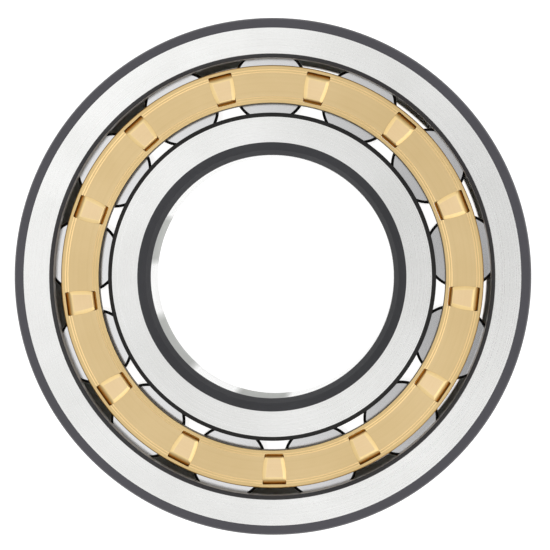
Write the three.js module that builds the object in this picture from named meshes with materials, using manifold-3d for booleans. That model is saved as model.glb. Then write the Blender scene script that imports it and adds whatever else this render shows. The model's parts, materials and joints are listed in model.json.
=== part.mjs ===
// A single-row cylindrical roller bearing, 80 x 170 x 39 mm, with one guiding flange on the inner ring and a
// two-piece machined brass cage. The cage body's crosspieces end in tenons that are riveted over the cover.
// Millimetres, +Z up. The bearing's axis is Z, its plain side lies on z = 0 and its flanged, riveted side is at
// z = WIDTH.
import * as THREE from 'three';
import { mergeVertices } from 'three/addons/utils/BufferGeometryUtils.js';
import Module from 'manifold-3d';

const wasm = await Module();
wasm.setup();

// Boundary dimensions
const BORE_R = 40;
const OUTSIDE_R = 85;
const WIDTH = 39;

// Rollers
const ROLLER_COUNT = 13;
const ROLLER_R = 12.4; // 12.5 less the running gap to each raceway
const ROLLER_LENGTH = 24.8;
const ROLLER_CORNER = 0.85;
const PITCH_R = 63; // radius of the circle through the roller centres
const FIRST_ROLLER_DEG = 7.65; // where the first roller stands at rest, from +X
const PITCH_DEG = 360 / ROLLER_COUNT;

// Raceways and flanges
const OUTER_RACEWAY_R = 75.5;
const INNER_RACEWAY_R = 50.5;
const OUTER_FLANGE_R = 71.8;
const INNER_FLANGE_R = 53.8;
const CHANNEL_LENGTH = 25.2; // between the two flanges of the outer ring
const CHANNEL_BOTTOM = (WIDTH - CHANNEL_LENGTH) / 2;
const CHANNEL_TOP = WIDTH - CHANNEL_BOTTOM;
const RELIEF_DEPTH = 0.4; // grinding relief in each raceway corner
const RELIEF_WIDTH = 1;

// Ring corners: a 45 degree chamfer, then a steeper blend into the seat
const OUTSIDE_CORNER = { chamfer: 2.95, blendRadial: 0.55, blendAxial: 1.2 };
const BORE_CORNER = { chamfer: 2.55, blendRadial: 1.55, blendAxial: 2.4 };
const FLANGE_CHAMFER = 1.25;
const RACEWAY_LEAD = { radial: 1.9, axial: 2.4 }; // lead-in on the inner ring's plain side

// Cage
const COVER_INNER_R = 56.9;
const BODY_INNER_R = 60.4; // the body stands clear of the inner ring by more than the cover does
const CAGE_OUTER_R = 69.35;
const CAGE_BOTTOM = 2.2;
const POCKET_BOTTOM = 6.7;
const POCKET_CLEARANCE = 0.35;
const CROSSPIECE_TOP = 32.1;
const COVER_BOTTOM = 32.4;
const COVER_TOP = 37.1;
const CAGE_CHAMFER = 0.6;
const RECESS = { innerR: 58.8, outerR: 67, depth: 0.3 }; // turned band that the rivet heads lie in

// Rivets: tenon and head on each crosspiece, and the window that the tenon passes through
const WINDOW = { innerR: 58.1, outerR: 68, innerWidth: 5.8, outerWidth: 7.3 };
const TENON = { innerR: 60.7, outerR: 66.3, innerWidth: 4, outerWidth: 4.8 };
const HEAD = { innerR: 58.9, outerR: 66.6, innerWidth: 6.4, outerWidth: 7.9 };
const HEAD_GAP = 0.3; // left between the head and the recess that it closes on
const HEAD_THICKNESS = 0.5;
const TENON_ROOT = 1; // how far a tenon is drawn down into its crosspiece

// Facets round each kind of turned piece
const RING_SEGMENTS = 8 * ROLLER_COUNT;
const ROLLER_SEGMENTS = 32;
const POCKET_SEGMENTS = 40;

const groundSteel = new THREE.MeshStandardMaterial({ color: 0xe6e6e4, roughness: 0.3, metalness: 1 });
const rollerSteel = new THREE.MeshStandardMaterial({ color: 0xd9d9d8, roughness: 0.2, metalness: 1 });
const brass = new THREE.MeshStandardMaterial({ color: 0xd9c08a, roughness: 0.4, metalness: 1 });

const radians = THREE.MathUtils.degToRad;
const rollerAngle = (index) => radians(FIRST_ROLLER_DEG + index * PITCH_DEG);
const crosspieceAngle = (index) => rollerAngle(index + 0.5);
const indices = [...Array(ROLLER_COUNT).keys()];

// Turns a profile of [radius, height] points about Z. The profile runs upwards on its outer side.
function turned(profile, segments) {
  const points = profile.map(([radius, height]) => new THREE.Vector2(radius, height));
  return new THREE.LatheGeometry(points, segments).rotateX(Math.PI / 2);
}

// Turns a ring, whose profile closes on itself. Its facets meet on the rays through the roller centres.
function turnedRing(profile) {
  return turned([...profile, profile[0]], RING_SEGMENTS).rotateZ(rollerAngle(0));
}

// A prism standing on bottom whose outline is a trapezium symmetric about the ray at an angle.
function radialPrism({ innerR, outerR, innerWidth, outerWidth }, bottom, top, angle) {
  const outline = new THREE.Shape([
    new THREE.Vector2(innerR, -innerWidth / 2),
    new THREE.Vector2(outerR, -outerWidth / 2),
    new THREE.Vector2(outerR, outerWidth / 2),
    new THREE.Vector2(innerR, innerWidth / 2),
  ]);
  const prism = new THREE.ExtrudeGeometry(outline, { depth: top - bottom, bevelEnabled: false });
  return prism.translate(0, 0, bottom).rotateZ(angle);
}

// A closed geometry as a solid that can be joined and cut.
function solidOf(geometry) {
  const bare = geometry.clone().deleteAttribute('normal').deleteAttribute('uv');
  const merged = mergeVertices(bare, 1e-4);
  return new wasm.Manifold(new wasm.Mesh({
    numProp: 3,
    vertProperties: new Float32Array(merged.attributes.position.array),
    triVerts: new Uint32Array(merged.index.array),
  }));
}

function geometryOf(solid) {
  const { vertProperties, triVerts } = solid.getMesh();
  const geometry = new THREE.BufferGeometry();
  geometry.setAttribute('position', new THREE.BufferAttribute(vertProperties, 3));
  geometry.setIndex(new THREE.BufferAttribute(triVerts, 1));
  geometry.computeVertexNormals();
  return geometry;
}

const united = (geometries) => geometries.map(solidOf).reduce((all, next) => all.add(next));

// The three points of a lower ring corner, from the side face to the seat. A bore's corner runs inwards.
function lowerCorner(seatR, { chamfer, blendRadial, blendAxial }, inwards) {
  return [
    [seatR + inwards * (chamfer + blendRadial), 0],
    [seatR + inwards * blendRadial, chamfer],
    [seatR, chamfer + blendAxial],
  ];
}

// The same points on the other side of the bearing's middle plane, in the order that continues a profile.
function mirrored(points) {
  return points.map(([radius, height]) => [radius, WIDTH - height]).reverse();
}

// The outer ring guides the rollers between two flanges.
function outerRing() {
  const reliefR = OUTER_RACEWAY_R + RELIEF_DEPTH;
  const lowerHalf = [
    [OUTER_RACEWAY_R, CHANNEL_BOTTOM + RELIEF_WIDTH],
    [reliefR, CHANNEL_BOTTOM + RELIEF_WIDTH / 2],
    [reliefR, CHANNEL_BOTTOM],
    [OUTER_FLANGE_R, CHANNEL_BOTTOM],
    [OUTER_FLANGE_R, FLANGE_CHAMFER],
    [OUTER_FLANGE_R + FLANGE_CHAMFER, 0],
    ...lowerCorner(OUTSIDE_R, OUTSIDE_CORNER, -1),
  ];
  return turnedRing([...lowerHalf, ...mirrored(lowerHalf)]);
}

// The inner ring has a flange at the top only, so it can be drawn out upwards.
function innerRing() {
  const boreCorner = lowerCorner(BORE_R, BORE_CORNER, 1).reverse();
  const reliefR = INNER_RACEWAY_R - RELIEF_DEPTH;
  return turnedRing([
    ...boreCorner,
    [INNER_RACEWAY_R - RACEWAY_LEAD.radial, 0],
    [INNER_RACEWAY_R, RACEWAY_LEAD.axial],
    [INNER_RACEWAY_R, CHANNEL_TOP - RELIEF_WIDTH],
    [reliefR, CHANNEL_TOP - RELIEF_WIDTH / 2],
    [reliefR, CHANNEL_TOP],
    [INNER_FLANGE_R, CHANNEL_TOP],
    [INNER_FLANGE_R, WIDTH - FLANGE_CHAMFER],
    [INNER_FLANGE_R - FLANGE_CHAMFER, WIDTH],
    ...mirrored(boreCorner),
  ]);
}

// A roller stands on its own origin, so its mesh is placed on the pitch circle.
function roller() {
  const half = ROLLER_LENGTH / 2;
  const endR = ROLLER_R - ROLLER_CORNER;
  return turned([
    [0, -half],
    [endR, -half],
    [ROLLER_R, ROLLER_CORNER - half],
    [ROLLER_R, half - ROLLER_CORNER],
    [endR, half],
    [0, half],
  ], ROLLER_SEGMENTS);
}

// The body is a ring with a round pocket bored for each roller, which leaves a waisted crosspiece between
// pockets, with a tenon and a riveted head on top of each.
function cageBody() {
  const blank = turnedRing([
    [BODY_INNER_R, CAGE_BOTTOM + CAGE_CHAMFER],
    [BODY_INNER_R + CAGE_CHAMFER, CAGE_BOTTOM],
    [CAGE_OUTER_R - CAGE_CHAMFER, CAGE_BOTTOM],
    [CAGE_OUTER_R, CAGE_BOTTOM + CAGE_CHAMFER],
    [CAGE_OUTER_R, CROSSPIECE_TOP],
    [BODY_INNER_R, CROSSPIECE_TOP],
  ]);
  const pocketR = ROLLER_R + POCKET_CLEARANCE;
  const pockets = indices.map((index) => new THREE.CylinderGeometry(pocketR, pocketR, WIDTH, POCKET_SEGMENTS)
    .rotateX(Math.PI / 2)
    .rotateZ(rollerAngle(index))
    .translate(PITCH_R * Math.cos(rollerAngle(index)), PITCH_R * Math.sin(rollerAngle(index)),
      POCKET_BOTTOM + WIDTH / 2));
  const headBottom = COVER_TOP - RECESS.depth + HEAD_GAP;
  const rivets = indices.flatMap((index) => [
    radialPrism(TENON, CROSSPIECE_TOP - TENON_ROOT, headBottom + HEAD_THICKNESS / 2, crosspieceAngle(index)),
    radialPrism(HEAD, headBottom, headBottom + HEAD_THICKNESS, crosspieceAngle(index)),
  ]);
  return geometryOf(solidOf(blank).subtract(united(pockets)).add(united(rivets)));
}

// The cover closes the pockets. It has a window for each tenon and a shallow turned recess round its face.
function cageCover() {
  const floor = COVER_TOP - RECESS.depth;
  const blank = turnedRing([
    [COVER_INNER_R, COVER_BOTTOM],
    [CAGE_OUTER_R, COVER_BOTTOM],
    [CAGE_OUTER_R, COVER_TOP - CAGE_CHAMFER],
    [CAGE_OUTER_R - CAGE_CHAMFER, COVER_TOP],
    [RECESS.outerR, COVER_TOP],
    [RECESS.outerR, floor],
    [RECESS.innerR, floor],
    [RECESS.innerR, COVER_TOP],
    [COVER_INNER_R + CAGE_CHAMFER, COVER_TOP],
    [COVER_INNER_R, COVER_TOP - CAGE_CHAMFER],
  ]);
  const windows = indices.map((index) => (
    radialPrism(WINDOW, COVER_BOTTOM - 1, COVER_TOP + 1, crosspieceAngle(index))
  ));
  return geometryOf(solidOf(blank).subtract(united(windows)));
}

function piece(name, geometry, material) {
  const mesh = new THREE.Mesh(geometry, material);
  mesh.name = name;
  return mesh;
}

const bearing = new THREE.Group();
bearing.add(
  piece('outer_ring', outerRing(), groundSteel),
  piece('inner_ring', innerRing(), groundSteel),
  piece('cage_body', cageBody(), brass),
  piece('cage_cover', cageCover(), brass),
);

const rollerGeometry = roller();
for (const index of indices) {
  const name = `roller_${String(index + 1).padStart(2, '0')}`;
  const mesh = piece(name, rollerGeometry, rollerSteel);
  const angle = rollerAngle(index);
  mesh.position.set(PITCH_R * Math.cos(angle), PITCH_R * Math.sin(angle), WIDTH / 2);
  mesh.rotation.z = angle;
  bearing.add(mesh);
}

export default bearing;
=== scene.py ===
"""Looks of the cylindrical roller bearing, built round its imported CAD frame.

Lengths are in millimetres until a mesh is made. Every turned piece is a profile of corners about +Z.
"""
import json
import math

import bmesh
import bpy
from mathutils import Matrix, Vector


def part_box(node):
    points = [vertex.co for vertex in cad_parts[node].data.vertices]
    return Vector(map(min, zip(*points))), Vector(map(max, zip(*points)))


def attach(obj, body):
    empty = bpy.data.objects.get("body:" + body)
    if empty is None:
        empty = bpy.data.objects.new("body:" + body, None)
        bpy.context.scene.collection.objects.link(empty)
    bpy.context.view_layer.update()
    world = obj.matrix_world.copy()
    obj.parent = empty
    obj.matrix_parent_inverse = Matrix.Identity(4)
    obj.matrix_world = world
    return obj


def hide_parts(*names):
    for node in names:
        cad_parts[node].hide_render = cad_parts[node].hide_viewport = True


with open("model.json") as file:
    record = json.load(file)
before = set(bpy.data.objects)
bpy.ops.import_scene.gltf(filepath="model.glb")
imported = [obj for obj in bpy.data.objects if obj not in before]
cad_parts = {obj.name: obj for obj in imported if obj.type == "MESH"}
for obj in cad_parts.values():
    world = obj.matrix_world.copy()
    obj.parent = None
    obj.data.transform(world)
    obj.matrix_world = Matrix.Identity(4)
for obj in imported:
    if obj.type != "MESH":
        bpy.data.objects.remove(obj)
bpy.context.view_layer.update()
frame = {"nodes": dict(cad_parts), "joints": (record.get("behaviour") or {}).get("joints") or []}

MM = 0.001
TURNED_STEPS = 208  # facets round a ring
ROLLER_STEPS = 72  # facets round a roller
ARC_STEP = math.radians(15)  # the most that a rounded corner turns between two facets
WELD = 1e-5  # points closer than this become one


# ---------------------------------------------------------------- sizes from the frame

def reach(node, centre=(0, 0), under=math.inf):
    """The least and greatest distance of a CAD node's points from an upright axis, up to a height."""
    points = [vertex.co / MM for vertex in frame["nodes"][node].data.vertices]
    lengths = [(point.xy - Vector(centre)).length for point in points if point.z < under]
    return min(lengths), max(lengths)


def heights(node):
    """The lowest and highest point of a CAD node."""
    low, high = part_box(node)
    return low.z / MM, high.z / MM


def roller_joint(node):
    """The joint that a roller spins on."""
    return next(joint for joint in frame["joints"] if joint["child"] == node)


ROLLERS = sorted(node for node in frame["nodes"] if node.startswith("roller_"))
PITCH = 2 * math.pi / len(ROLLERS)
FIRST_CENTRE = Vector(roller_joint(ROLLERS[0])["pos_m"]) / MM
FIRST_ANGLE = math.atan2(FIRST_CENTRE.y, FIRST_CENTRE.x)
PITCH_R = FIRST_CENTRE.xy.length

WIDTH = heights("outer_ring")[1]
OUTER_FLANGE_R, OUTSIDE_R = reach("outer_ring")
BORE_R, INNER_FLANGE_R = reach("inner_ring")
COVER_INNER_R, CAGE_OUTER_R = reach("cage_cover")
COVER_BOTTOM, COVER_TOP = heights("cage_cover")
CAGE_BOTTOM = heights("cage_body")[0]
BODY_INNER_R = reach("cage_body", under=WIDTH / 2)[0]
ROLLER_BOTTOM, ROLLER_TOP = heights(ROLLERS[0])
ROLLER_R = reach(ROLLERS[0], FIRST_CENTRE.xy)[1]

ROLLER_GAP = 0.1  # between a roller and the rings, on every side
OUTER_RACEWAY_R = PITCH_R + ROLLER_R + ROLLER_GAP
INNER_RACEWAY_R = PITCH_R - ROLLER_R - ROLLER_GAP
CHANNEL_BOTTOM = ROLLER_BOTTOM - ROLLER_GAP
CHANNEL_TOP = ROLLER_TOP + ROLLER_GAP

# Rings and rollers
OUTSIDE_CHAMFER = 2.95
OUTSIDE_BLEND = (0.55, 1.2)  # radial, axial: a gentler slope between the chamfer and the seat
BORE_CHAMFER = 2.55
BORE_BLEND = (1.55, 2.4)
FLANGE_CHAMFER = 1.25
INNER_FLANGE_CHAMFER = 1.4
EDGE_BREAK = 0.25  # rounds the edge between the outer ring's flange chamfer and its bore
RELIEF = 0.45  # grinding relief in each raceway corner
LEAD_IN = (1.9, 2.4)  # radial, axial, on the inner ring's plain side
ROLLER_CORNER = 0.85
DISH_R = ROLLER_R * 0.42  # the shallow hollow in each roller end
DISH_DEPTH = 0.35

# Cage
SEAM = 0.25  # between the crosspieces and the cover
CROSSPIECE_TOP = COVER_BOTTOM - SEAM
POCKET_R = ROLLER_R + 0.3  # the pockets leave the rollers a little play
POCKET_BOTTOM = ROLLER_BOTTOM - 0.4
POCKET_STEPS = 96
RECESS_DEPTH = 0.25
RECESS_FLOOR = COVER_TOP - RECESS_DEPTH
OUTER_LINES_R = CAGE_OUTER_R - 1.48  # the middle of the double line's first slope, inside each lip
INNER_LINES_R = COVER_INNER_R + 1.35
LINE_PITCH = 0.75  # from the middle of the first slope to that of the second
LINE_HALF = 0.18  # half the width of a slope
LINE_ROUNDING = 0.05
CUT_THROUGH = 1  # how far a window's cutter stands out on both sides of the cover

# Tapered outlines: inner radius, outer radius, inner width, outer width
WINDOW = (58.1, 68.15, 6.2, 7.9)
WINDOW_CORNER = 0.4
TENON = (60.7, 66.2, 3.9, 4.7)
SHANK = (58.3, 67.95, 5.9, 7.6)
RIVET_CORNER = 0.25
RIVET_HEAD = [  # an outline, its height above the recess, and how far its long sides bulge
    ((58.6, 67.8, 5.9, 7.5), -0.95, 0.0),
    ((58.7, 67.75, 5.9, 7.5), -0.7, 0.0),
    ((58.8, 67.5, 5.95, 7.55), -0.4, 0.1),
    ((58.95, 67.1, 6.1, 7.8), -0.1, 0.35),
    ((59.15, 66.7, 6.0, 7.7), 0.15, 0.35),
    ((59.45, 66.3, 4.5, 6.1), 0.36, 0.1),
    ((59.65, 65.8, 4.1, 5.65), 0.45, 0.05),
]
TENON_BOTTOM = CROSSPIECE_TOP - 0.6
TENON_TOP = COVER_BOTTOM + 0.2
SHANK_BOTTOM = COVER_BOTTOM + 0.5
SHANK_TOP = RECESS_FLOOR - 1.05
FLANK_SHADE = (RECESS_FLOOR - 0.65, RECESS_FLOOR + 0.4)  # where painted shade deepens a rivet's flanks in colour


# ---------------------------------------------------------------- meshes

def rounded(corners):
    """Rounds the corners of a closed profile.

    Each corner is (radius, height, rounding, finish). The finish is that of the surface from this corner to
    the next. Returns (radius, height, finish) for each point.
    """
    points = []
    for index, (radius, height, rounding, finish) in enumerate(corners):
        here = Vector((radius, height))
        before = Vector(corners[index - 1][:2]) - here
        after = Vector(corners[(index + 1) % len(corners)][:2]) - here
        if not rounding:
            points.append((here.x, here.y, finish))
            continue
        before.normalize()
        after.normalize()
        half = before.angle(after) / 2
        centre = here + (before + after).normalized() * rounding / math.sin(half)
        start = here + before * rounding / math.tan(half) - centre
        turn = before.cross(after)
        sweep = math.copysign(math.pi - 2 * half, -turn)
        steps = max(2, math.ceil(abs(sweep) / ARC_STEP))
        last_finish = corners[index - 1][3]
        for step in range(steps + 1):
            arm = Matrix.Rotation(sweep * step / steps, 2) @ start
            points.append((centre.x + arm.x, centre.y + arm.y, finish if step == steps else last_finish))
    return points


def mesh_object(name, bm, finishes):
    """A smooth object from a bmesh in millimetres, with one material slot for each finish."""
    bmesh.ops.remove_doubles(bm, verts=bm.verts, dist=WELD)
    bmesh.ops.recalc_face_normals(bm, faces=bm.faces)
    bmesh.ops.scale(bm, vec=(MM, MM, MM), verts=bm.verts)
    for face in bm.faces:
        face.smooth = True
    mesh = bpy.data.meshes.new(name)
    bm.to_mesh(mesh)
    bm.free()
    for finish in finishes:
        mesh.materials.append(finish)
    thing = bpy.data.objects.new(name, mesh)
    bpy.context.scene.collection.objects.link(thing)
    return thing


def turned(name, corners, steps=TURNED_STEPS, start=FIRST_ANGLE):
    """A solid of revolution about +Z from a closed profile of corners."""
    points = rounded(corners)
    finishes = list(dict.fromkeys(finish for _, _, finish in points))
    bm = bmesh.new()
    rings = []
    for step in range(steps):
        angle = start + 2 * math.pi * step / steps
        across = (math.cos(angle), math.sin(angle))
        rings.append([bm.verts.new((r * across[0], r * across[1], z)) for r, z, _ in points])
    for here, there in zip(rings, rings[1:] + rings[:1]):
        for index, (_, _, finish) in enumerate(points):
            after = (index + 1) % len(points)
            if points[index][0] == 0 and points[after][0] == 0:
                continue
            face = bm.faces.new((here[index], there[index], there[after], here[after]))
            face.material_index = finishes.index(finish)
    return mesh_object(name, bm, finishes)


def circle(centre, radius, height, steps):
    """A round outline at a height."""
    x, y = centre
    turns = [2 * math.pi * step / steps for step in range(steps)]
    return [(x + radius * math.cos(turn), y + radius * math.sin(turn), height) for turn in turns]


def walled(bm, sections, finishes):
    """Adds the sides through a stack of outlines with the same number of points. Returns their rings.

    finishes holds the material slot number of each side, from the bottom up.
    """
    rings = [[bm.verts.new(point) for point in section] for section in sections]
    for lower, upper, finish in zip(rings, rings[1:], finishes):
        for index in range(len(lower)):
            after = (index + 1) % len(lower)
            side = bm.faces.new((lower[index], lower[after], upper[after], upper[index]))
            side.material_index = finish
    return rings


def lofted(bm, sections, finishes=None):
    """Adds a closed solid through a stack of outlines. The last of finishes is for its top."""
    finishes = finishes or [0] * len(sections)
    rings = walled(bm, sections, finishes)
    bm.faces.new(list(reversed(rings[0])))
    bm.faces.new(rings[-1]).material_index = finishes[-1]


def combined(thing, tool, operation):
    """Joins or cuts thing with tool, for good, and removes the tool."""
    modifier = thing.modifiers.new(operation, "BOOLEAN")
    modifier.operation = operation
    modifier.solver = "EXACT"
    modifier.material_mode = "TRANSFER"
    modifier.object = tool
    bpy.context.view_layer.update()
    graph = bpy.context.evaluated_depsgraph_get()
    made = bpy.data.meshes.new_from_object(thing.evaluated_get(graph))
    thing.modifiers.clear()
    thing.data = made
    bpy.data.objects.remove(tool)
    return thing


def soften(thing, sharp_above=math.radians(30)):
    """Keeps flats flat and roundings smooth in the shading."""
    for polygon in thing.data.polygons:
        polygon.use_smooth = True
    thing.data.set_sharp_from_angle(angle=sharp_above)
    weighted = thing.modifiers.new("flat_normals", "WEIGHTED_NORMAL")
    weighted.weight = 100
    weighted.keep_sharp = True


# ---------------------------------------------------------------- materials

def linked(tree, kind, inputs=None, **settings):
    """Adds a node. inputs maps a socket's name or number to a value or to another node's output socket."""
    node = tree.nodes.new(kind)
    for key, value in settings.items():
        setattr(node, key, value)
    for key, value in (inputs or {}).items():
        if isinstance(value, bpy.types.NodeSocket):
            tree.links.new(value, node.inputs[key])
        else:
            node.inputs[key].default_value = value
    return node


def math_of(tree, operation, first, second):
    """A number made from two others by a Math node."""
    return linked(tree, "ShaderNodeMath", {0: first, 1: second}, operation=operation).outputs[0]


def mixed(tree, factor, first, second):
    """A colour between two others."""
    node = linked(tree, "ShaderNodeMix", {"Factor": factor}, data_type="RGBA")
    for socket, value in ((node.inputs[6], first), (node.inputs[7], second)):
        if isinstance(value, bpy.types.NodeSocket):
            tree.links.new(value, socket)
        else:
            socket.default_value = (*value, 1)
    return node.outputs[2]


def between(tree, factor, first, second):
    """A number between two others."""
    return linked(tree, "ShaderNodeMix", {"Factor": factor, 2: first, 3: second}).outputs[0]


def spread(tree, value, low, high, low_out=0.0, high_out=1.0):
    """Maps a value from one range to another and holds it there."""
    inputs = {"Value": value, "From Min": low, "From Max": high, "To Min": low_out, "To Max": high_out}
    return linked(tree, "ShaderNodeMapRange", inputs).outputs[0]


def closeness_to(tree, ray, aim):
    """The cosine of the angle between two unit vectors."""
    return linked(tree, "ShaderNodeVectorMath", {0: ray, 1: aim}, operation="DOT_PRODUCT").outputs["Value"]


def noise(tree, where, scale, detail=2.0, roughness=0.5):
    """Noise with about scale features to the metre."""
    inputs = {"Vector": where, "Scale": scale, "Detail": detail, "Roughness": roughness}
    return linked(tree, "ShaderNodeTexNoise", inputs).outputs["Fac"]


def own_point(tree):
    """The shaded point in its object's own coordinates."""
    return linked(tree, "ShaderNodeTexCoord").outputs["Object"]


def height_of(tree, point):
    """A point's distance along +Z."""
    return linked(tree, "ShaderNodeSeparateXYZ", {0: point}).outputs["Z"]


def out_from_axis(tree, point):
    """The part of a point's coordinates that leads straight away from +Z."""
    return linked(tree, "ShaderNodeVectorMath", {0: point, 1: (1, 1, 0)}, operation="MULTIPLY").outputs[0]


def across_turning(tree, point):
    """Radius plus height, which changes across every turned surface."""
    outwards = out_from_axis(tree, point)
    radius = linked(tree, "ShaderNodeVectorMath", {0: outwards}, operation="LENGTH").outputs["Value"]
    return math_of(tree, "ADD", radius, height_of(tree, point))


def hoops(tree, across, spacing, detail=3.0):
    """Marks round a turned surface, about spacing millimetres apart."""
    inputs = {"W": across, "Scale": 1 / (spacing * MM), "Detail": detail, "Roughness": 0.6}
    return linked(tree, "ShaderNodeTexNoise", inputs, noise_dimensions="1D").outputs["Fac"]


def blended(tree, first, second, share):
    """first, with a share of it given to second."""
    kept = math_of(tree, "MULTIPLY", first, 1 - share)
    return math_of(tree, "ADD", kept, math_of(tree, "MULTIPLY", second, share))


CLOUDS_PER_METRE = 35
SPECKS_PER_METRE = 2600
SPECK_HEIGHT = 0.1  # of the height of the tool marks
LINES_PER_BAND = 4  # tool marks in each wider band of tone
ACROSS_THE_MARKS = 0.25  # of a full turn: the marks run round, and scatter light across themselves


def metal(name, light, dark, metallic, roughness, marks, mark_depth, anisotropic=0.0, specular=0.5):
    """A turned or ground metal.

    Its colour wanders between light and dark. roughness is the least and the greatest. marks is the spacing
    of the tool marks and mark_depth their depth, both in millimetres.
    """
    material = bpy.data.materials.new(name)
    material.use_nodes = True
    tree = material.node_tree
    shader = tree.nodes["Principled BSDF"]
    point = own_point(tree)
    across = across_turning(tree, point)
    clouds = noise(tree, point, CLOUDS_PER_METRE, detail=4.0, roughness=0.55)
    specks = noise(tree, point, SPECKS_PER_METRE)
    lines = hoops(tree, across, marks)
    bands = hoops(tree, across, marks * LINES_PER_BAND, detail=1.0)
    tone = blended(tree, clouds, bands, share=0.2)
    colour = mixed(tree, spread(tree, tone, low=0.35, high=0.65), dark, light)
    tree.links.new(colour, shader.inputs["Base Color"])
    grain = blended(tree, lines, specks, share=0.15)
    tree.links.new(spread(tree, grain, 0.3, 0.7, *roughness), shader.inputs["Roughness"])
    height = math_of(tree, "ADD", lines, math_of(tree, "MULTIPLY", specks, SPECK_HEIGHT))
    bump = linked(tree, "ShaderNodeBump", {"Height": height, "Distance": mark_depth * MM, "Strength": 1.0})
    tree.links.new(bump.outputs[0], shader.inputs["Normal"])
    shader.inputs["Metallic"].default_value = metallic
    shader.inputs["Specular IOR Level"].default_value = specular
    if anisotropic:
        tangent = linked(tree, "ShaderNodeTangent", direction_type="RADIAL", axis="Z")
        tree.links.new(tangent.outputs[0], shader.inputs["Tangent"])
        shader.inputs["Anisotropic"].default_value = anisotropic
        shader.inputs["Anisotropic Rotation"].default_value = ACROSS_THE_MARKS
    return material


ground_face = metal(
    "ground_face", light=(0.86, 0.86, 0.85), dark=(0.78, 0.78, 0.765),
    metallic=1, roughness=(0.24, 0.36), marks=0.25, mark_depth=0.0014, anisotropic=0.6,
)
guide_face = metal(
    "guide_face", light=(0.815, 0.815, 0.805), dark=(0.745, 0.745, 0.73),
    metallic=1, roughness=(0.24, 0.36), marks=0.25, mark_depth=0.0014, anisotropic=0.6,
)
ground_seat = metal(
    "ground_seat", light=(0.46, 0.46, 0.455), dark=(0.38, 0.38, 0.375),
    metallic=1, roughness=(0.22, 0.32), marks=0.2, mark_depth=0.0015, anisotropic=0.5,
)
flange_bore = metal(
    "flange_bore", light=(0.66, 0.66, 0.65), dark=(0.54, 0.54, 0.53),
    metallic=0.5, roughness=(0.4, 0.5), marks=0.3, mark_depth=0.002,
)
bore_seat = metal(
    "bore_seat", light=(0.80, 0.80, 0.79), dark=(0.70, 0.70, 0.69),
    metallic=1, roughness=(0.18, 0.28), marks=0.2, mark_depth=0.0015, anisotropic=0.5,
)
raceway = metal(
    "raceway", light=(0.78, 0.78, 0.77), dark=(0.68, 0.68, 0.67),
    metallic=1, roughness=(0.14, 0.22), marks=0.2, mark_depth=0.001, anisotropic=0.4,
)
# painted light: a bright, faintly green white lifts the flange face that lies in deep shade between the
# rollers
channel_wall_painted_light = metal(
    "channel_wall_painted_light", light=(0.92, 0.96, 0.92), dark=(0.84, 0.88, 0.84),
    metallic=0, roughness=(0.35, 0.45), marks=0.3, mark_depth=0.002,
)
turned_oxide = metal(
    "turned_oxide", light=(0.037, 0.034, 0.046), dark=(0.027, 0.025, 0.034),
    metallic=0, roughness=(0.42, 0.55), marks=0.4, mark_depth=0.004,
)
dark_oxide = metal(
    "dark_oxide", light=(0.032, 0.032, 0.037), dark=(0.022, 0.022, 0.026),
    metallic=0, roughness=(0.38, 0.5), marks=0.4, mark_depth=0.004,
)
black_oxide = metal(
    "black_oxide", light=(0.019, 0.020, 0.022), dark=(0.012, 0.0125, 0.014),
    metallic=0, roughness=(0.4, 0.5), marks=0.4, mark_depth=0.002, specular=0.25,
)
blend_oxide = metal(
    "blend_oxide", light=(0.040, 0.040, 0.045), dark=(0.026, 0.026, 0.030),
    metallic=0, roughness=(0.3, 0.4), marks=0.3, mark_depth=0.003, specular=0.3,
)
roller_end = metal(
    "roller_end", light=(0.72, 0.72, 0.725), dark=(0.675, 0.675, 0.68),
    metallic=1, roughness=(0.11, 0.15), marks=0.2, mark_depth=0.0002, anisotropic=0.2,
)
roller_side = metal(
    "roller_side", light=(0.84, 0.84, 0.84), dark=(0.78, 0.78, 0.78),
    metallic=1, roughness=(0.1, 0.16), marks=0.2, mark_depth=0.001, anisotropic=0.3,
)
roller_edge = metal(
    "roller_edge", light=(0.02, 0.02, 0.02), dark=(0.01, 0.01, 0.01),
    metallic=0, roughness=(0.35, 0.45), marks=0.2, mark_depth=0.002, specular=0.25,
)
brass_face = metal(
    "brass_face", light=(0.695, 0.524, 0.278), dark=(0.645, 0.477, 0.24),
    metallic=1, roughness=(0.36, 0.48), marks=0.3, mark_depth=0.003, anisotropic=0.15,
)
brass_lip = metal(
    "brass_lip", light=(0.69, 0.51, 0.25), dark=(0.64, 0.465, 0.22),
    metallic=1, roughness=(0.34, 0.44), marks=0.25, mark_depth=0.003, anisotropic=0.15,
)
brass_edge = metal(
    "brass_edge", light=(0.93, 0.70, 0.37), dark=(0.87, 0.64, 0.32),
    metallic=1, roughness=(0.5, 0.6), marks=0.2, mark_depth=0.001,
)
brass_bore = metal(
    "brass_bore", light=(0.50, 0.31, 0.11), dark=(0.40, 0.24, 0.08),
    metallic=1, roughness=(0.3, 0.42), marks=0.5, mark_depth=0.006,
)
# painted shade: a near-black brass for the cover's bore wall, where the shade between the cover and the
# rollers falls
brass_painted_shade_wall = metal(
    "brass_painted_shade_wall", light=(0.16, 0.11, 0.05), dark=(0.11, 0.075, 0.035),
    metallic=1, roughness=(0.4, 0.5), marks=0.5, mark_depth=0.003,
)
# painted shade: a darker, deeper brass for the window walls and rivet sides in the slits, where shade falls
brass_painted_slit_shade = metal(
    "brass_painted_slit_shade", light=(0.66, 0.385, 0.08), dark=(0.55, 0.315, 0.055),
    metallic=1, roughness=(0.35, 0.45), marks=0.5, mark_depth=0.003,
)
brass_rivet = metal(
    "brass_rivet", light=(0.84, 0.65, 0.39), dark=(0.79, 0.60, 0.345),
    metallic=1, roughness=(0.5, 0.6), marks=0.5, mark_depth=0.002,
)
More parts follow.
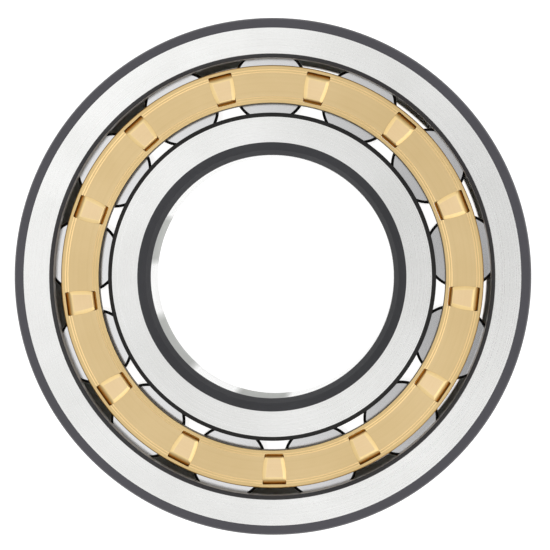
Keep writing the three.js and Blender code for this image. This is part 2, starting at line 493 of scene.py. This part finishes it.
# its foot gets painted shade in cage_body
brass_flank = metal(
    "brass_flank", light=(0.92, 0.71, 0.37), dark=(0.86, 0.65, 0.32),
    metallic=1, roughness=(0.4, 0.5), marks=0.5, mark_depth=0.002,
)


FLANK_PAINTED_SHADE = (0.68, 0.42, 0.09)  # painted shade: the darker brass at the foot of a rivet's flanks
# Painted reflections: soft grey, rougher patches on the inner ring's bore stand in for dark reflections
PAINTED_REFLECTION_COLOUR = (0.57, 0.58, 0.56)
PAINTED_REFLECTION_ROUGHNESS = 0.9
BORE_PAINTED_REFLECTIONS = ((162, 13), (214, 17), (265, 14))  # azimuth and half-width, in degrees


def painted_shade_below(material, low, high, colour):
    """Paints shade: lets a material turn into another colour from a height down to a lower one, in
    millimetres.
    """
    tree = material.node_tree
    socket = tree.nodes["Principled BSDF"].inputs["Base Color"]
    share = spread(tree, height_of(tree, own_point(tree)), low * MM, high * MM)
    tree.links.new(mixed(tree, share, colour, socket.links[0].from_socket), socket)


def painted_reflections(material, colour, roughness, sectors):
    """Paints soft grey patches that stand in for dark reflections into a material about +Z, each given by
    its azimuth and half-width in degrees.
    """
    tree = material.node_tree
    shader = tree.nodes["Principled BSDF"]
    flat = out_from_axis(tree, own_point(tree))
    outwards = linked(tree, "ShaderNodeVectorMath", {0: flat}, operation="NORMALIZE").outputs[0]
    share = 0.0
    for azimuth, half_width in sectors:
        ray = (math.cos(math.radians(azimuth)), math.sin(math.radians(azimuth)), 0)
        closeness = closeness_to(tree, outwards, ray)
        edge = math.cos(math.radians(half_width))
        share = math_of(tree, "MAXIMUM", share, spread(tree, closeness, edge, (1 + edge) / 2))
    hue, grain = shader.inputs["Base Color"], shader.inputs["Roughness"]
    tree.links.new(mixed(tree, share, hue.links[0].from_socket, colour), hue)
    tree.links.new(between(tree, share, grain.links[0].from_socket, roughness), grain)


# ---------------------------------------------------------------- pieces

def mirrored(corners):
    """The corners of the other half of a profile, on the other side of the middle plane.

    A finish belongs to the surface after its corner, so the finishes move along by one.
    """
    finishes = [corner[3] for corner in corners[:-1]]
    flipped = [(radius, WIDTH - height, rounding) for radius, height, rounding, _ in reversed(corners)]
    return [(*corner, finish) for corner, finish in zip(flipped, reversed(finishes))] + [flipped[-1]]


def outer_ring():
    """The ring with a flange on each side."""
    relief_r = OUTER_RACEWAY_R + RELIEF
    lower = [
        (OUTER_RACEWAY_R, CHANNEL_BOTTOM + 2 * RELIEF, 0.1, raceway),
        (relief_r, CHANNEL_BOTTOM + RELIEF, 0.15, raceway),
        (relief_r, CHANNEL_BOTTOM, 0.15, channel_wall_painted_light),
        (OUTER_FLANGE_R, CHANNEL_BOTTOM, 0.3, flange_bore),
        (OUTER_FLANGE_R, FLANGE_CHAMFER, EDGE_BREAK, dark_oxide),
        (OUTER_FLANGE_R + FLANGE_CHAMFER, 0, 0.1, ground_face),
        (OUTSIDE_R - OUTSIDE_CHAMFER - OUTSIDE_BLEND[0], 0, 0.12, turned_oxide),
        (OUTSIDE_R - OUTSIDE_BLEND[0], OUTSIDE_CHAMFER, 0.8, turned_oxide),
        (OUTSIDE_R, OUTSIDE_CHAMFER + OUTSIDE_BLEND[1], 0.5, ground_seat),
    ]
    return ring_of("outer_ring_turned", lower, raceway)


def ring_of(name, lower, closing):
    """A ring whose two halves mirror each other. closing is the finish of the profile's last surface."""
    upper = mirrored(lower)
    upper[-1] = (*upper[-1], closing)
    return turned(name, lower + upper)


def inner_ring():
    """The ring with one flange, at the cover side, and painted reflections: soft grey patches in its bore.
    """
    # soft grey patches painted on the bore stand in for dark reflections
    painted_reflections(bore_seat, PAINTED_REFLECTION_COLOUR, PAINTED_REFLECTION_ROUGHNESS, BORE_PAINTED_REFLECTIONS)
    bore_corner = [
        (BORE_R, BORE_CHAMFER + BORE_BLEND[1], 0.6),
        (BORE_R + BORE_BLEND[0], BORE_CHAMFER, 0.3),
        (BORE_R + BORE_BLEND[0] + BORE_CHAMFER, 0, 0.12),
    ]
    relief_r = INNER_RACEWAY_R - RELIEF
    return turned("inner_ring_turned", [
        (*bore_corner[0], blend_oxide),
        (*bore_corner[1], dark_oxide),
        (*bore_corner[2], guide_face),
        (INNER_RACEWAY_R - LEAD_IN[0], 0, 0.15, dark_oxide),
        (INNER_RACEWAY_R, LEAD_IN[1], 0.5, raceway),
        (INNER_RACEWAY_R, CHANNEL_TOP - 2 * RELIEF, 0.1, raceway),
        (relief_r, CHANNEL_TOP - RELIEF, 0.15, raceway),
        (relief_r, CHANNEL_TOP, 0.15, raceway),
        (INNER_FLANGE_R, CHANNEL_TOP, 0.3, black_oxide),
        (INNER_FLANGE_R, WIDTH - INNER_FLANGE_CHAMFER, 0.15, black_oxide),
        (INNER_FLANGE_R - INNER_FLANGE_CHAMFER, WIDTH, 0.1, guide_face),
        (bore_corner[2][0], WIDTH, bore_corner[2][2], dark_oxide),
        (bore_corner[1][0], WIDTH - bore_corner[1][1], bore_corner[1][2], blend_oxide),
        (bore_corner[0][0], WIDTH - bore_corner[0][1], bore_corner[0][2], bore_seat),
    ])


def roller(node):
    """A roller with turned corners and a slightly dished end."""
    centre = Vector(roller_joint(node)["pos_m"])
    top = (ROLLER_TOP - ROLLER_BOTTOM) / 2
    flat_r = ROLLER_R - ROLLER_CORNER
    piece = turned(node + "_ground", [
        (0, DISH_DEPTH - top, 0, roller_end),
        (DISH_R, DISH_DEPTH - top, 0.3, roller_end),
        (DISH_R + DISH_DEPTH, -top, 0.2, roller_end),
        (flat_r, -top, 0.2, roller_edge),
        (ROLLER_R, ROLLER_CORNER - top, 0.4, roller_side),
        (ROLLER_R, top - ROLLER_CORNER, 0.4, roller_edge),
        (flat_r, top, 0.2, roller_end),
        (DISH_R + DISH_DEPTH, top, 0.2, roller_end),
        (DISH_R, top - DISH_DEPTH, 0.3, roller_end),
        (0, top - DISH_DEPTH, 0, roller_end),
    ], ROLLER_STEPS, math.atan2(centre.y, centre.x))
    piece.location = centre
    return piece


def crosspiece_angle(index):
    """The angle round +Z of the crosspiece after a roller, halfway to the next one."""
    return FIRST_ANGLE + (index + 0.5) * PITCH


def trapezium(inner_r, outer_r, inner_width, outer_width, height, angle, bulge=0.0, corner=0.0, steps=12):
    """A closed outline at a height, symmetric about the ray at an angle.

    bulge is how far its long sides stand out at their middle, as a parabola, and corner the radius of its
    corners.
    """
    half_sides = []
    for step in range(steps + 1):
        share = (1 - math.cos(math.pi * step / steps)) / 2
        radius = inner_r + share * (outer_r - inner_r)
        half = (inner_width + share * (outer_width - inner_width)) / 2 + bulge * 4 * share * (1 - share)
        to_end = min(radius - inner_r, outer_r - radius)
        if to_end < corner:
            half -= corner - math.sqrt(corner ** 2 - (corner - to_end) ** 2)
        half_sides.append((radius, half))
    outline = [(r, -half) for r, half in half_sides] + [(r, half) for r, half in reversed(half_sides)]
    cos, sin = math.cos(angle), math.sin(angle)
    return [(r * cos - side * sin, r * sin + side * cos, height) for r, side in outline]


def double_step(radius, way):
    """The corners of two small slopes from the lip down to the recess, with a ledge between them.

    way is 1 where the recess lies at a greater radius than the lip, and -1 where it lies at a smaller one.
    """
    ledge = COVER_TOP - RECESS_DEPTH / 2
    near, far = way * LINE_HALF, way * (LINE_PITCH - LINE_HALF)
    return [
        (radius - near, COVER_TOP),
        (radius + near, ledge),
        (radius + far, ledge),
        (radius + way * (LINE_PITCH + LINE_HALF), RECESS_FLOOR),
    ]


def cage_cover():
    """The riveted brass ring: a lip and a fine double line at each edge, and a recess with windows."""
    outer = double_step(OUTER_LINES_R, -1)
    inner = reversed(double_step(INNER_LINES_R, 1))
    going_down = (brass_edge, brass_lip, brass_edge, brass_face)
    going_up = (brass_edge, brass_lip, brass_edge, brass_lip)
    down = [(*corner, LINE_ROUNDING, finish) for corner, finish in zip(outer, going_down)]
    up = [(*corner, LINE_ROUNDING, finish) for corner, finish in zip(inner, going_up)]
    cover = turned("cage_cover_turned", [
        (COVER_INNER_R, COVER_BOTTOM, 0.2, brass_face),
        (CAGE_OUTER_R, COVER_BOTTOM, 0.2, brass_bore),
        (CAGE_OUTER_R, COVER_TOP, 0.35, brass_lip),
        *down,
        *up,
        (COVER_INNER_R, COVER_TOP, 0.35, brass_painted_shade_wall),
    ])
    windows = bmesh.new()
    for index in range(len(ROLLERS)):
        lofted(windows, [
            trapezium(*WINDOW, height, crosspiece_angle(index), corner=WINDOW_CORNER)
            for height in (COVER_BOTTOM - CUT_THROUGH, COVER_TOP + CUT_THROUGH)
        ])
    return combined(cover, mesh_object("windows", windows, [brass_painted_slit_shade]), "DIFFERENCE")


def cage_body():
    """The brass comb under the cover: a ring, a waisted crosspiece between rollers, and a rivet on each."""
    body = turned("cage_body_turned", [
        (BODY_INNER_R, CAGE_BOTTOM, 0.5, brass_face),
        (CAGE_OUTER_R, CAGE_BOTTOM, 0.5, brass_bore),
        (CAGE_OUTER_R, CROSSPIECE_TOP, 0.2, brass_bore),
        (BODY_INNER_R, CROSSPIECE_TOP, 0.2, brass_bore),
    ])
    pockets = bmesh.new()
    for index in range(len(ROLLERS)):
        angle = FIRST_ANGLE + index * PITCH
        centre = (PITCH_R * math.cos(angle), PITCH_R * math.sin(angle))
        lofted(pockets, [
            circle(centre, POCKET_R, height, POCKET_STEPS) for height in (POCKET_BOTTOM, WIDTH)
        ])
    combined(body, mesh_object("pockets", pockets, [brass_bore]), "DIFFERENCE")
    rivets = bmesh.new()
    for index in range(len(ROLLERS)):
        rivet(rivets, crosspiece_angle(index))
    # painted shade darkens the foot of each rivet's flanks
    painted_shade_below(brass_flank, *FLANK_SHADE, FLANK_PAINTED_SHADE)
    return combined(body, mesh_object("rivets", rivets, [brass_painted_slit_shade, brass_flank, brass_rivet]), "UNION")


def rivet(bm, angle):
    """A tenon that is upset into a head, which fills its window and bulges over its two long edges."""
    # the slit slot holds the painted slit shade
    slit, flank, top = range(3)
    levels = [  # outline, height, bulge, finish of the side above
        (TENON, TENON_BOTTOM, 0.0, slit),
        (TENON, TENON_TOP, 0.0, slit),
        (SHANK, SHANK_BOTTOM, 0.0, slit),
        (SHANK, SHANK_TOP, 0.0, slit),
    ]
    levels += [(outline, RECESS_FLOOR + height, bulge, flank) for outline, height, bulge in RIVET_HEAD]
    outlines = [
        trapezium(*outline, height, angle, bulge, RIVET_CORNER) for outline, height, bulge, _ in levels
    ]
    lofted(bm, outlines, [finish for *_, finish in levels[:-1]] + [top])


# ---------------------------------------------------------------- assembly

def fitted(piece, body, slot, *nodes):
    """Puts a finished piece in place of CAD nodes."""
    soften(piece)
    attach(piece, body)
    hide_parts(*nodes)


fitted(outer_ring(), "outer_ring", "ring_steel", "outer_ring")
fitted(inner_ring(), "inner_ring", "ring_steel", "inner_ring")
fitted(cage_body(), "cage", "cage_brass", "cage_body")
fitted(cage_cover(), "cage", "cage_brass", "cage_cover")
for node in ROLLERS:
    fitted(roller(node), node, "roller_steel", node)


# ---------------------------------------------------------------- stage, light and camera

FLOOR_R = 3000
COVE_R = 800  # of the arc that its edge rises along
COVE_STEPS = 12
FLOOR_STEPS = 96
COVE_RISE = math.radians(75)  # how far round its arc the cove goes
FLOOR_GREY = 0.3
FLOOR_ROUGHNESS = 0.9
FLOOR_GLOW = 0.97  # lit from below, so the gaps between the rollers show it white
CAMERA_HEIGHT = 828  # above the cover side
CAMERA_SIDE = (30.5, 12.3)
CAMERA_AIM = (1.12, 0.63)  # where its axis meets the plane of the cover side
LENS = 165.85
SENSOR = 36
FAR_CLIP = 20  # metres


def floor():
    """A white light table whose edge curves up all round, so that a low view meets no horizon."""
    material = bpy.data.materials.new("pale_floor")
    material.use_nodes = True
    shader = material.node_tree.nodes["Principled BSDF"]
    shader.inputs["Base Color"].default_value = (FLOOR_GREY, FLOOR_GREY, FLOOR_GREY, 1)
    shader.inputs["Roughness"].default_value = FLOOR_ROUGHNESS
    shader.inputs["Emission Color"].default_value = (1, 1, 1, 1)
    shader.inputs["Emission Strength"].default_value = FLOOR_GLOW
    turns = [COVE_RISE * step / COVE_STEPS for step in range(COVE_STEPS + 1)]
    bm = bmesh.new()
    rings = walled(bm, [
        circle((0, 0), FLOOR_R + COVE_R * math.sin(turn), COVE_R * (1 - math.cos(turn)), FLOOR_STEPS)
        for turn in turns
    ], [0] * COVE_STEPS)
    bm.faces.new(rings[0])
    mesh_object("floor", bm, [material])


def direction(azimuth, elevation):
    """A unit vector from the origin, by its angle round +Z and its angle above the floor in degrees."""
    turn, rise = math.radians(azimuth), math.radians(elevation)
    return Vector((math.cos(turn) * math.cos(rise), math.sin(turn) * math.cos(rise), math.sin(rise)))


WATTS_PER_AREA = 4  # that a square light needs for a radiance of one


def softbox(name, azimuth, elevation, distance, size, radiance):
    """A square light that faces the bearing. Its distance and size are in metres.

    radiance is what a mirror would show.
    """
    light = bpy.data.lights.new(name, "AREA")
    light.size = size
    light.energy = radiance * WATTS_PER_AREA * size ** 2
    lamp = bpy.data.objects.new(name, light)
    lamp.visible_camera = False
    bpy.context.scene.collection.objects.link(lamp)
    away = direction(azimuth, elevation)
    lamp.location = away * distance
    lamp.rotation_euler = away.to_track_quat("Z", "Y").to_euler()


HORIZON = (0.28, 0.29, 0.31)
TENT = (0.60, 0.60, 0.60)
TENT_FROM = 0.5  # how high, as the sine of the elevation, the tent is fully bright
LENS_HOLE = direction(0, 85.5)  # the dark hole in the tent that the photographer works through
HOLE_CORE = math.radians(3)  # how far from its middle it is fully dark
HOLE_EDGE = math.radians(9.3)  # how far from its middle it ends
HOLE_COLOUR = (0.03, 0.03, 0.03)


def studio():
    """A bright tent that darkens towards the horizon, with a hole for the lens, and four soft lights."""
    world = bpy.data.worlds.new("studio")
    bpy.context.scene.world = world
    world.use_nodes = True
    tree = world.node_tree
    way = linked(tree, "ShaderNodeTexCoord").outputs["Generated"]
    sky = mixed(tree, spread(tree, height_of(tree, way), 0.0, TENT_FROM), HORIZON, TENT)
    hole = spread(tree, closeness_to(tree, way, LENS_HOLE), math.cos(HOLE_EDGE), math.cos(HOLE_CORE))
    seen = mixed(tree, hole, sky, HOLE_COLOUR)
    tree.links.new(seen, tree.nodes["Background"].inputs["Color"])
    softbox("overhead", azimuth=155, elevation=71, distance=1.6, size=1.5, radiance=0.42)
    softbox("key", azimuth=-50, elevation=54, distance=4.0, size=3.0, radiance=0.92)
    softbox("back_key", azimuth=130, elevation=54, distance=4.0, size=3.0, radiance=0.23)
    softbox("fill", azimuth=10, elevation=50, distance=4.0, size=2.2, radiance=0.95)


def camera():
    """The photograph's angle: nearly straight down on the cover side, with +X to the right."""
    data = bpy.data.cameras.new("camera")
    data.lens = LENS
    data.sensor_width = SENSOR
    data.clip_end = FAR_CLIP
    eye = bpy.data.objects.new("camera", data)
    bpy.context.scene.collection.objects.link(eye)
    eye.location = Vector((*CAMERA_SIDE, WIDTH + CAMERA_HEIGHT)) * MM
    aim = Vector((*CAMERA_AIM, WIDTH)) * MM
    back = (eye.location - aim).normalized()
    right = Vector((0, 1, 0)).cross(back).normalized()
    eye.rotation_euler = Matrix((right, back.cross(right), back)).transposed().to_euler()
    bpy.context.scene.camera = eye


floor()
studio()
camera()
bpy.context.scene.view_settings.view_transform = "Standard"
